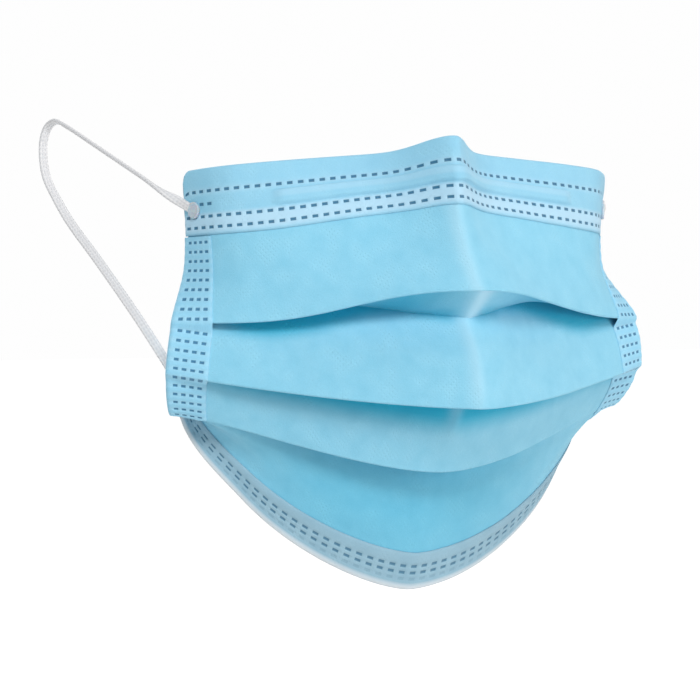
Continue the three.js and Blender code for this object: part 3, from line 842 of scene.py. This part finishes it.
bandSet = {
    "width": 10.9,
    "wall": 0.22,
    "lift": 0.36,
    "fromEdge": (2.0, 4.3, 6.6, 8.9),
    "dash": (1.5, 1.0),
    "rowPitch": 2.55,
    "step": 1.9,            # how far down the band takes to step from ply to ply
    "edgeRoom": 0.55,       # how far the wrap stands off the cut edge
    "puff": 0.13,
    "puffReach": 0.55,
    "hemGap": 0.3,          # from the two hems
    "firstRow": 1.6,
    "lastRow": 0.8,
    "sink": 0.16,           # how far the free edge is pressed down
    "change": 1.0,          # how far past a fold or valley the band steps over
    "weldHighlight": 0.25,
    "weldReach": 0.75,
}


def makeBand(name, sign):
    setting = bandSet
    top = topHemSet["height"] + setting["hemGap"]
    bottom = maskHeight - bottomHemSet["height"] - setting["hemGap"]
    centres = np.arange(top + setting["firstRow"], bottom - setting["lastRow"], setting["rowPitch"])
    downs, pressedDown = rowLines(top, bottom, centres, setting["dash"][1], 0.55)
    fromEdge, pressedOut = rowLines(0, setting["width"], setting["fromEdge"], setting["dash"][0], 0.6)
    wrapAngles = np.radians([60, 30, 0, -30, -60])
    outer = [(value, press, 1, 0) for value, press in zip(fromEdge[::-1], pressedOut[::-1])]
    wrap = [(0, 0, 0, angle) for angle in wrapAngles]
    inner = [(value, press, -1, 0) for value, press in zip(fromEdge, pressedOut)]
    stops = np.array(outer + wrap + inner, dtype=float)
    if sign < 0:
        stops = stops[::-1]

    # One leg of the band lies on the outermost ply of its side and steps over to the next at every change
    def legPoint(down, across, lift, changes):
        low = np.zeros_like(down)
        share = np.zeros_like(down)
        for number, change in enumerate(changes):
            blend = smoothStep(down, change - setting["step"] / 2, change + setting["step"] / 2)
            isHere = (blend > 0) & (blend < 1)
            low = np.where(blend >= 1, number + 1, low)
            share = np.where(isHere, blend, share)
        low = low.astype(int)
        first = overCloth(2 * low, down, across, lift)
        second = overCloth(2 * np.minimum(low + 1, 3), down, across, lift)
        return mix(first, second, share[:, None])

    def place(columnNumber, rowNumber):
        value, press, leg, angle = stops[columnNumber].T
        down = downs[rowNumber]
        across = sign * (1 - value / halfWidth)
        weld = press * pressedDown[rowNumber] * (leg != 0)
        puff = puffBetween(down, centres, setting["puffReach"], setting["puff"])
        puff = puff * smoothStep(setting["width"] - value, 0, 1.5)
        lift = setting["lift"] + puff - weldSet["depth"] * weld
        lift -= setting["sink"] * (1 - smoothStep(setting["width"] - value, 0, 1.2))
        outerChange = [fold + setting["change"] for fold in folds]
        innerChange = [valley - setting["change"] for valley in valleys]
        outerPoints = legPoint(down, across, lift, outerChange)
        innerPoints = legPoint(down, across, -lift, innerChange)
        _, alongX, _ = clothFrame(0 * columnNumber, down, across)
        centre, half = (outerPoints + innerPoints) / 2, (outerPoints - innerPoints) / 2
        wrapPoints = (centre + half * np.sin(angle)[:, None]
                      + sign * alongX * (setting["edgeRoom"] * np.cos(angle))[:, None])
        points = np.where((leg > 0)[:, None], outerPoints, np.where((leg < 0)[:, None], innerPoints, wrapPoints))
        flat = np.stack([sign * (halfWidth + np.where(leg < 0, value, -value)), -down], axis=-1)
        # painted highlight along the weld rows, carried as pale
        nearest = np.min([np.abs(down - centre) for centre in centres], axis=0)
        return points, flat, weld, setting["weldHighlight"] * hump(nearest, 0, setting["weldReach"])

    return gridPiece(name, len(stops), len(downs), place, [bandCloth], setting["wall"])


for label, sign in (("Left", -1), ("Right", 1)):
    band = makeBand("sideBand" + label, sign)
    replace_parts(band, "side_band_" + label.lower())
    print("side band is made,", len(band.data.polygons), "faces")


# Polyethylene over soft steel wire: smooth extruded white plastic, a little waxy
def extrudedPlastic():
    material, tree, shader = newMaterial("polyethyleneOverSteelWire")
    place = addNode(tree, "ShaderNodeTexCoord")
    # Drawn die lines are too fine to show, so the noise is a coarse 1.5 mm
    streaks = addNode(tree, "ShaderNodeTexNoise", {"Scale": 650, "Detail": 2}, {"Vector": place.outputs["Object"]})
    tone = addNode(tree, "ShaderNodeMix", {"data_type": "RGBA"}, {"Factor": streaks.outputs["Fac"]})
    tone.inputs[6].default_value = linear("#dfe3e6")
    tone.inputs[7].default_value = linear("#eef0f1")
    tree.links.new(tone.outputs[2], shader.inputs["Base Color"])
    shader.inputs["Roughness"].default_value = 0.38
    shader.inputs["IOR"].default_value = 1.51
    return material


noseWireSet = {"columns": 121, "rows": 5, "inside": 0.1, "lift": 0.56, "crown": 0.08, "thickness": 0.5}


def makeNoseWire():
    columns, rows = noseWireSet["columns"], noseWireSet["rows"]
    setting = topHemSet

    def place(columnNumber, rowNumber):
        across = (columnNumber / (columns - 1) - 0.5) * setting["wireLength"] / halfWidth
        side = rowNumber / (rows - 1) * 2 - 1
        down = setting["wireAt"] + side * (setting["wireHalf"] - noseWireSet["inside"])
        lift = noseWireSet["lift"] - noseWireSet["crown"] * side ** 4
        points = overCloth(0 * columnNumber, down, across, lift)
        plain = np.zeros(len(across))
        return points, np.stack([across * halfWidth, -down], axis=-1), plain, plain

    piece = gridPiece("noseWire", columns, rows, place, [extrudedPlastic()], noseWireSet["thickness"])
    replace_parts(piece, "nose_wire")


makeNoseWire()
print("nose wire is made")


# Ear loops: flat elastic whose ends are melted to pads on the hems, in metres from here on.
# wide is the way that the elastic's broad side faces across, turned over once behind the ear.
elasticSet = {
    "width": 0.0027,
    "thickness": 0.0013,
    "rib": 0.0009,          # from one knitted rib to the next
    "stitch": 0.0013,
    "around": 40,
    "step": 0.0003,
    "rightSag": 0.02,        # the right loop hangs this much lower at its far end
    "smoothSteps": 30,       # the loop's turning is evened out over this many steps each way
    "inPad": 0.0004,         # how far the elastic's ends go into the pads
    "upperLead": 0.0034,     # straight part from each pad
    "lowerLead": 0.0036,
}
loopRoute = [
    {"out": 0.0695, "back": 0.043, "drop": 0.015},
    {"out": 0.071, "back": 0.0524, "drop": 0.0109},
    {"out": 0.0724, "back": 0.065, "drop": 0.006},
    {"out": 0.074, "back": 0.0788, "drop": 0.0006},
    {"out": 0.0754, "back": 0.0905, "drop": -0.0039},
    {"out": 0.076, "back": 0.0965, "drop": -0.0054},
    {"out": 0.0765, "back": 0.101, "drop": -0.0032},
    {"out": 0.077, "back": 0.1024, "drop": 0.0022},
    {"out": 0.077, "back": 0.1004, "drop": 0.01},
    {"out": 0.0764, "back": 0.0952, "drop": 0.0164},
    {"out": 0.0753, "back": 0.088, "drop": 0.0236},
    {"out": 0.074, "back": 0.075, "drop": 0.0332},
    {"out": 0.0724, "back": 0.062, "drop": 0.0435},
    {"out": 0.0706, "back": 0.0505, "drop": 0.0535},
    {"out": 0.066, "back": 0.045, "drop": 0.064},
]
loopTwist = [
    {"at": 0.09, "x": -0.86, "y": -0.29, "z": 0.43},
    {"at": 0.36, "x": -0.86, "y": -0.29, "z": 0.43},
    {"at": 0.5, "x": -0.95, "y": 0.15, "z": 0.1},
    {"at": 0.6, "x": -0.85, "y": 0.3, "z": -0.3},
    {"at": 0.9, "x": -0.8, "y": 0.35, "z": -0.45},
]
padSet = {
    "width": 4.2,
    "height": 4.6,
    "thickness": 0.9,
    "fromTop": 10.4,
    "fromBottom": 5,
    "fromSide": 4.9,
    "lift": 0.95,            # cloth's middle to the pad's middle
    "rimRound": 0.35,
    "rimWidth": 0.45,        # the raised rim round the pressed face
    "pressed": 0.22,
    "innerStep": 0.3,
    "innerRise": 0.04,
}


# Knitted polyester over spandex: lengthwise ribs with small looped stitches, matt white, with painted shade greying
# the hollows
def knittedElastic():
    material, tree, shader = newMaterial("knittedPolyesterElastic")
    uv = addNode(tree, "ShaderNodeUVMap", {"uv_map": "flat"})
    place = addNode(tree, "ShaderNodeMapping", {"Scale": (200, 200, 1)}, {"Vector": uv.outputs["UV"]})
    hollow = addNode(tree, "ShaderNodeAttribute", {"attribute_name": "weld"})
    # Yarn filaments are 0.02 mm thick; drawn as 0.15 mm fuzz so that they show
    fuzz = addNode(tree, "ShaderNodeTexNoise", {"Scale": 7, "Detail": 3, "Roughness": 0.6},
                   {"Vector": place.outputs["Vector"]})
    # painted shade: the colour turns grey in the rib and stitch hollows
    tone = addNode(tree, "ShaderNodeMix", {"data_type": "RGBA"}, {"Factor": hollow.outputs["Fac"]})
    tone.inputs[6].default_value = linear("#f1f1f2")
    tone.inputs[7].default_value = linear("#d0d2d6")
    bump = addNode(tree, "ShaderNodeBump", {"Strength": 0.4, "Distance": 0.0001}, {"Height": fuzz.outputs["Fac"]})
    tree.links.new(tone.outputs[2], shader.inputs["Base Color"])
    tree.links.new(bump.outputs["Normal"], shader.inputs["Normal"])
    shader.inputs["Roughness"].default_value = 0.85
    shader.inputs["Sheen Weight"].default_value = 0.25
    return material


# Melted polyester: the elastic's end pressed to a smooth, greyish, slightly see-through skin
def meltedEnd():
    material, tree, shader = newMaterial("meltedPolyesterEnd")
    place = addNode(tree, "ShaderNodeTexCoord")
    # Flow marks of the melt, about 0.8 mm
    flow = addNode(tree, "ShaderNodeTexNoise", {"Scale": 1200, "Detail": 3, "Distortion": 0.8},
                   {"Vector": place.outputs["Object"]})
    tone = addNode(tree, "ShaderNodeMix", {"data_type": "RGBA"}, {"Factor": flow.outputs["Fac"]})
    tone.inputs[6].default_value = linear("#a9bccb")
    tone.inputs[7].default_value = linear("#d3dce3")
    bump = addNode(tree, "ShaderNodeBump", {"Strength": 0.35, "Distance": 0.0002}, {"Height": flow.outputs["Fac"]})
    tree.links.new(tone.outputs[2], shader.inputs["Base Color"])
    tree.links.new(bump.outputs["Normal"], shader.inputs["Normal"])
    shader.inputs["Roughness"].default_value = 0.32
    shader.inputs["IOR"].default_value = 1.57
    shader.inputs["Subsurface Weight"].default_value = 0.3
    shader.inputs["Subsurface Scale"].default_value = 0.0015
    return material


elasticMaterial, meltMaterial = knittedElastic(), meltedEnd()


def padSeat(sign, isUpper):
    across = np.array(sign * (1 - padSet["fromSide"] / halfWidth))
    ply = np.array(0 if isUpper else 6)
    down = np.array(padSet["fromTop"] if isUpper else maskHeight - padSet["fromBottom"])
    outward, alongX, downward = clothFrame(ply, down, across)
    centre = clothPoint(ply, down, across) + outward * padSet["lift"]
    return {"centre": Vector(centre * mm), "out": Vector(outward), "x": Vector(alongX), "down": Vector(downward)}


# A pad is an oval slab with a raised soft rim round its pressed face
def makePad(name, seat):
    shape = bmesh.new()
    bmesh.ops.create_circle(shape, cap_ends=True, segments=40, radius=0.5)
    face = shape.faces[:]
    raised = bmesh.ops.extrude_face_region(shape, geom=face)
    top = [part for part in raised["geom"] if isinstance(part, bmesh.types.BMVert)]
    bmesh.ops.translate(shape, verts=top, vec=(0, 0, 1))
    bmesh.ops.recalc_face_normals(shape, faces=shape.faces)
    scale = Matrix.Diagonal((padSet["width"] * mm, padSet["height"] * mm, padSet["thickness"] * mm, 1))
    bmesh.ops.transform(shape, matrix=scale @ Matrix.Translation((0, 0, -0.5)), verts=shape.verts)
    rims = [edge for edge in shape.edges if all(abs(corner.co.z - padSet["thickness"] * mm / 2) < 1e-7
                                                for corner in edge.verts)]
    bmesh.ops.bevel(shape, geom=rims, offset=padSet["rimRound"] * mm, segments=4, profile=0.5, affect="EDGES",
                    material=-1)
    crown = max(shape.faces, key=lambda f: f.calc_center_median().z)
    bmesh.ops.inset_individual(shape, faces=[crown], thickness=padSet["rimWidth"] * mm, depth=-padSet["pressed"] * mm)
    shape.faces.ensure_lookup_table()
    crown = max((f for f in shape.faces if len(f.verts) > 8), key=lambda f: f.normal.z)
    bmesh.ops.inset_individual(shape, faces=[crown], thickness=padSet["innerStep"] * mm,
                               depth=padSet["innerRise"] * mm)
    turn = Matrix((seat["x"], -seat["down"], seat["out"])).transposed().to_4x4()
    bmesh.ops.transform(shape, matrix=Matrix.Translation(seat["centre"]) @ turn, verts=shape.verts)
    mesh = bpy.data.meshes.new(name)
    shape.to_mesh(mesh)
    shape.free()
    mesh.shade_smooth()
    mesh.materials.append(meltMaterial)
    pad = bpy.data.objects.new(name, mesh)
    scene.collection.objects.link(pad)
    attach(pad, "root")
    return pad


# The smooth line through the route's points, at even steps along its length
def smoothLine(points, step):
    rough = np.array([list(point) for point in points])
    lengths = np.concatenate([[0], np.cumsum(np.linalg.norm(np.diff(rough, axis=0), axis=1))])
    rows = [{"at": at, "x": p[0], "y": p[1], "z": p[2]} for at, p in zip(lengths, rough)]
    dense = np.linspace(0, lengths[-1], int(lengths[-1] / step) + 1)
    line = np.stack([readTable(rows, dense, axis) for axis in "xyz"], axis=-1)
    true = np.concatenate([[0], np.cumsum(np.linalg.norm(np.diff(line, axis=0), axis=1))])
    even = np.linspace(0, true[-1], int(true[-1] / step) + 1)
    return np.stack([np.interp(even, true, line[:, i]) for i in range(3)], axis=-1), float(true[-1])


def makeLoop(name, sign, upper, lower):
    setting = elasticSet
    leave = padSet["width"] * mm / 2 - setting["inPad"]
    nearest = loopRoute[0]["back"]
    reach = max(stop["back"] for stop in loopRoute) - nearest
    sag = setting["rightSag"] if sign > 0 else 0
    onEdge = lower["centre"] + lower["out"] * (setting["width"] - setting["thickness"]) / 2
    first = Vector((sign * loopRoute[0]["out"], loopRoute[0]["back"], -loopRoute[0]["drop"]))
    toward = first - upper["centre"]
    toward = (toward - upper["out"] * toward.dot(upper["out"])).normalized()
    route = [upper["centre"] + toward * leave, upper["centre"] + toward * (leave + setting["upperLead"])]
    for stop in loopRoute:
        lowered = sag * max(stop["back"] - nearest, 0) / reach
        route.append(Vector((sign * stop["out"], stop["back"], -stop["drop"] - lowered)))
    route.append(onEdge + lower["x"] * sign * (leave + setting["lowerLead"]))
    route.append(lower["centre"] + lower["x"] * sign * leave)
    line, length = smoothLine(route, setting["step"])
    steps, around = len(line), setting["around"]
    along = unit(np.gradient(line, axis=0))
    share = np.linspace(0, 1, steps)
    twist = [{"at": 0, "x": -sign * upper["down"].x, "y": upper["down"].y, "z": upper["down"].z}] + loopTwist
    twist += [{"at": 1, "x": -sign * lower["down"].x, "y": lower["down"].y, "z": lower["down"].z}]
    wide = np.stack([np.interp(share, column(twist, "at"), column(twist, axis)) for axis in "xyz"], axis=-1)
    wide[:, 0] *= -sign
    smooth = np.hanning(2 * setting["smoothSteps"] + 1)
    padded = np.pad(wide, ((setting["smoothSteps"],) * 2, (0, 0)), mode="edge")
    wide = np.stack([np.convolve(padded[:, i], smooth / smooth.sum(), mode="valid") for i in range(3)], axis=-1)
    wide = unit(wide - along * np.sum(wide * along, axis=1, keepdims=True))
    thin = np.cross(along, wide)

    def place(columnNumber, rowNumber):
        angle = columnNumber / (around - 1) * 2 * math.pi
        # The section is a flat oblong with round corners, and its ribs and stitches are small hollows in it
        x = np.sign(np.cos(angle)) * np.abs(np.cos(angle)) ** 0.7 * setting["width"] / 2
        y = np.sign(np.sin(angle)) * np.abs(np.sin(angle)) ** 0.8 * setting["thickness"] / 2
        at = rowNumber * setting["step"]
        rib = 0.5 - 0.5 * np.cos(2 * math.pi * x / setting["rib"] + math.pi)
        vee = np.abs((x / setting["rib"]) % 1 - 0.5)
        loops = 0.5 - 0.5 * np.cos(2 * math.pi * (at / setting["stitch"] + vee))
        hollow = 0.6 * (1 - rib) + 0.4 * loops
        y = y * (1 - 0.2 * hollow)
        x = x * (1 - 0.05 * loops)
        points = line[rowNumber] + wide[rowNumber] * x[:, None] + thin[rowNumber] * y[:, None]
        flat = np.stack([columnNumber / (around - 1) * 8, at / mm], axis=-1)
        # hollow also greys the colour there as painted shade, through the weld attribute
        return points / mm, flat, hollow, 0 * hollow

    loop = gridPiece(name, around, steps, place, [elasticMaterial], 0)
    shape = bmesh.new()
    shape.from_mesh(loop.data)
    bmesh.ops.remove_doubles(shape, verts=shape.verts, dist=1e-7)
    bmesh.ops.holes_fill(shape, edges=[edge for edge in shape.edges if edge.is_boundary])
    bmesh.ops.recalc_face_normals(shape, faces=shape.faces)
    shape.to_mesh(loop.data)
    shape.free()
    loop.data.shade_smooth()
    print(name, "is made,", round(length * 1000, 1), "mm long")
    return loop


for label, sign in (("Left", -1), ("Right", 1)):
    side = label.lower()
    upper, lower = padSeat(sign, True), padSeat(sign, False)
    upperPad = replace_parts(makePad("upperPad" + label, upper), "upper_pad_" + side)
    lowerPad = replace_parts(makePad("lowerPad" + label, lower), "lower_pad_" + side)
    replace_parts(makeLoop("earLoop" + label, sign, upper, lower), "ear_loop_" + side)


# Stage: a pale floor below the held mask, a white room and soft studio light
stageSet = {
    "floor": -0.25,
    "floorSize": 12,
    "world": 0.28,
    "seenWorld": 0.99,   # the white room as the camera sees it
    "seenFloor": 0.8,    # light added to the floor as the camera sees it, so that it runs into the room
    "aim": (0, 0.02, -0.06),  # of all lights
    "lights": [
        {"name": "key", "from": (-0.6, -1.2, 0.95), "size": 0.6, "power": 15.5, "tint": "#ffffff"},
        {"name": "fill", "from": (1.25, -1.15, 0.1), "size": 0.9, "power": 12.5, "tint": "#fff3ee"},
        {"name": "top", "from": (0.1, 0.2, 1.4), "size": 1.0, "power": 5, "tint": "#ffffff"},
        {"name": "behind", "from": (-0.2, 1.5, 0.4), "size": 1.2, "power": 9, "tint": "#ffffff"},
    ],
}


def makeStage(setting):
    material, tree, shader = newMaterial("matFloorPaint")
    shader.inputs["Base Color"].default_value = linear("#f4f4f3")
    shader.inputs["Roughness"].default_value = 0.9
    shader.inputs["Emission Color"].default_value = linear("#ffffff")
    seen = addNode(tree, "ShaderNodeLightPath")
    lit = addNode(tree, "ShaderNodeMath", {"operation": "MULTIPLY", 1: setting["seenFloor"]},
                  {0: seen.outputs["Is Camera Ray"]})
    tree.links.new(lit.outputs[0], shader.inputs["Emission Strength"])
    shape = bmesh.new()
    bmesh.ops.create_grid(shape, x_segments=1, y_segments=1, size=setting["floorSize"] / 2)
    bmesh.ops.translate(shape, verts=shape.verts, vec=(0, 0, setting["floor"]))
    mesh = bpy.data.meshes.new("floor")
    shape.to_mesh(mesh)
    shape.free()
    mesh.materials.append(material)
    floor = bpy.data.objects.new("floor", mesh)
    scene.collection.objects.link(floor)
    for light in setting["lights"]:
        data = bpy.data.lights.new(light["name"], "AREA")
        data.shape = "DISK"
        data.size = light["size"]
        data.energy = light["power"]
        data.color = linear(light["tint"])[:3]
        lamp = bpy.data.objects.new(light["name"], data)
        scene.collection.objects.link(lamp)
        lamp.location = light["from"]
        toAim = Vector(setting["aim"]) - Vector(light["from"])
        lamp.rotation_euler = toAim.to_track_quat("-Z", "Y").to_euler()
    world = bpy.data.worlds.new("whiteRoom")
    world.use_nodes = True
    background = world.node_tree.nodes["Background"]
    background.inputs["Color"].default_value = (1, 1, 1, 1)
    seen = addNode(world.node_tree, "ShaderNodeLightPath")
    strength = addNode(world.node_tree, "ShaderNodeMapRange",
                       {"To Min": setting["world"], "To Max": setting["seenWorld"]},
                       {"Value": seen.outputs["Is Camera Ray"]})
    world.node_tree.links.new(strength.outputs["Result"], background.inputs["Strength"])
    scene.world = world
    scene.view_settings.view_transform = "Standard"


makeStage(stageSet)
print("stage is set")
